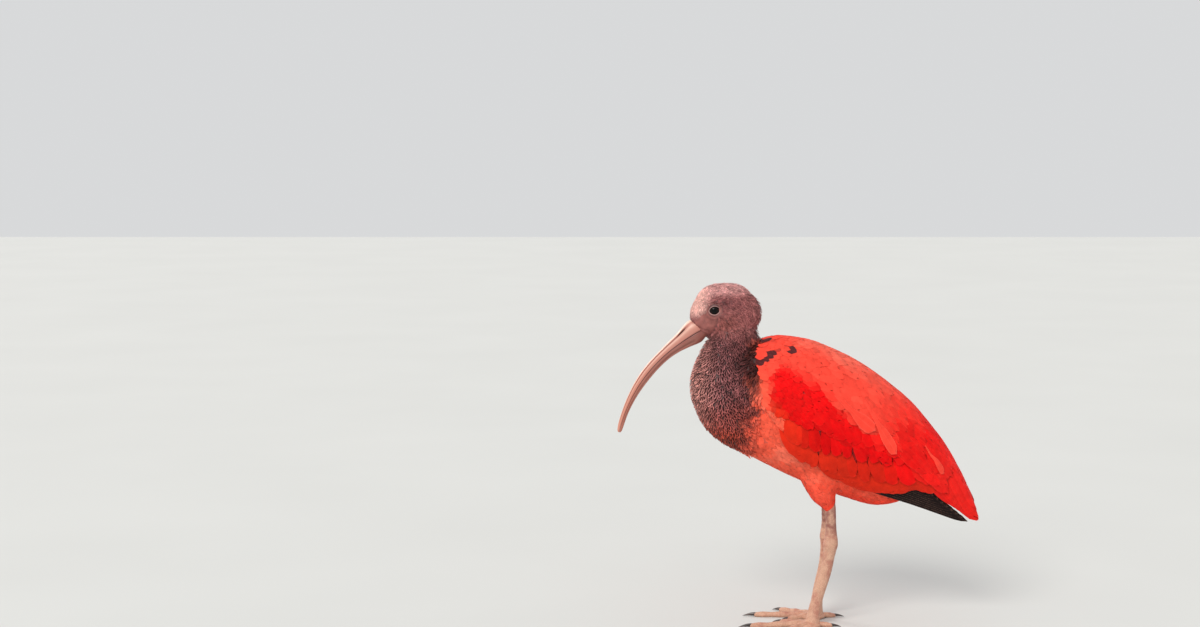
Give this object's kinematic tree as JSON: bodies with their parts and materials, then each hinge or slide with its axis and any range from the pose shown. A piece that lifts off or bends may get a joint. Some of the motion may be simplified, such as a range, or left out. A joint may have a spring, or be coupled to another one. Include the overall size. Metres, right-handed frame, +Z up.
{
  "type": "scarlet ibis",
  "caption": "Life-size standing wading bird with a long down-curved bill, neck drawn in, folded wings and bare legs, a still model on its own feet.",
  "frame": {"origin": "centre of the bird's length and width, on the ground plane under its feet", "axes": "+Z up, the bill points to -X, the bird's left side is -Y"},
  "size_m": [0.3764, 0.1176, 0.3577],
  "materials": {
    "scarlet_feathers": "soft matte",
    "rose_feathers": "soft matte",
    "plum_feathers": "soft matte",
    "black_feathers": "soft sheen",
    "bare_skin": "matte",
    "bill_horn": "satin",
    "leg_skin": "satin",
    "claw_horn": "satin",
    "eye": "wet gloss"
  },
  "bodies": {
    "root": {"bill_lower": "bill_horn", "bill_upper": "bill_horn", "head": "bare_skin", "left_claw_hind": "claw_horn", "left_claw_inner": "claw_horn", "left_claw_middle": "claw_horn", "left_claw_outer": "claw_horn", "left_eye": "eye", "left_primaries": "black_feathers", "left_shank": "leg_skin", "left_tarsus": "leg_skin", "left_thigh": "rose_feathers", "left_toe_hind": "leg_skin", "left_toe_inner": "leg_skin", "left_toe_middle": "leg_skin", "left_toe_outer": "leg_skin", "left_wing": "scarlet_feathers", "neck": "plum_feathers", "right_claw_hind": "claw_horn", "right_claw_inner": "claw_horn", "right_claw_middle": "claw_horn", "right_claw_outer": "claw_horn", "right_eye": "eye", "right_primaries": "black_feathers", "right_shank": "leg_skin", "right_tarsus": "leg_skin", "right_thigh": "rose_feathers", "right_toe_hind": "leg_skin", "right_toe_inner": "leg_skin", "right_toe_middle": "leg_skin", "right_toe_outer": "leg_skin", "right_wing": "scarlet_feathers", "tail": "scarlet_feathers", "torso": "rose_feathers"}
  },
  "joints": []
}
